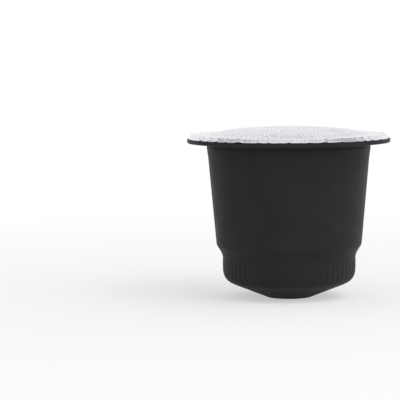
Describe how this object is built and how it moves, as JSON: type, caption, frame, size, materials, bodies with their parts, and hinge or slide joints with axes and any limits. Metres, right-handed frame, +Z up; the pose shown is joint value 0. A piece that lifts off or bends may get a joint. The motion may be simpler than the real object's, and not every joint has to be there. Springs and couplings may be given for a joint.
{
  "type": "coffee pod",
  "caption": "Sealed single-serve coffee pod: black moulded plastic cup with a wide round flange, ribbed lower band and coned base, closed by a domed embossed foil lid.",
  "frame": {"origin": "middle of the small flat nose that the pod stands on", "axes": "+Z up along the pod's axis, from the nose to the foil lid"},
  "size_m": [0.037, 0.037, 0.031],
  "materials": {
    "cup_plastic": "smooth moulded polypropylene with a soft sheen",
    "lid_foil": "bright embossed foil with a smooth sealed ring"
  },
  "bodies": {
    "root": {"cup": "cup_plastic", "foil_lid": "lid_foil"}
  },
  "joints": []
}
